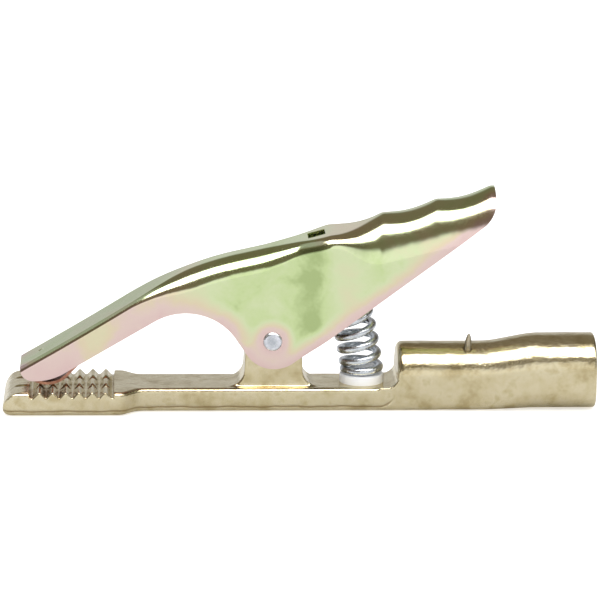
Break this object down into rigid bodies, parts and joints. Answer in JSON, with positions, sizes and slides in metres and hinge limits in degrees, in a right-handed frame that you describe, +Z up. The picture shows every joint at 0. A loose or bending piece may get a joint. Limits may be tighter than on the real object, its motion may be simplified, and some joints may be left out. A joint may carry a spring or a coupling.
{
  "type": "ground clamp",
  "caption": "Spring-closed tong clamp for a welding return cable: brass lower jaw and cable socket, pressed steel lever, copper contact and hinge rivet.",
  "frame": {"origin": "on the flat underside, straight below the hinge axis, midway between the two sides", "axes": "+X along the arm towards the cable socket, +Z up from the underside, hinge axis along Y"},
  "size_m": [0.2104, 0.033, 0.0795],
  "materials": {
    "cast_brass": "as cast, tumbled",
    "pin_brass": "drawn",
    "white_nylon": "moulded",
    "zinc_wire": "bright zinc plate",
    "shunt_copper": "bare copper leaves",
    "zinc_fastener": "zinc plate",
    "yellow_chromate_steel": "iridescent yellow chromate on zinc",
    "shoe_copper": "bare copper",
    "zinc_rivet": "zinc plate"
  },
  "bodies": {
    "lower_arm": {"lower_arm_casting": "cast_brass", "cable_drive_pin": "pin_brass", "spring_seat": "white_nylon", "return_spring": "zinc_wire", "shunt_strap": "shunt_copper", "shunt_screw": "zinc_fastener", "shunt_washer": "zinc_fastener"},
    "upper_lever": {"handle_stamping": "yellow_chromate_steel", "contact_shoe": "shoe_copper", "shunt_rivet": "shoe_copper", "pivot_rivet": "zinc_rivet"}
  },
  "joints": [
    {"name": "jaw_hinge", "type": "hinge", "parent": "lower_arm", "child": "upper_lever", "pos_m": [0, 0, 0.0254], "axis": [0, 1, 0], "range_deg": [0, 28], "deforming": ["return_spring", "shunt_strap"]}
  ]
}
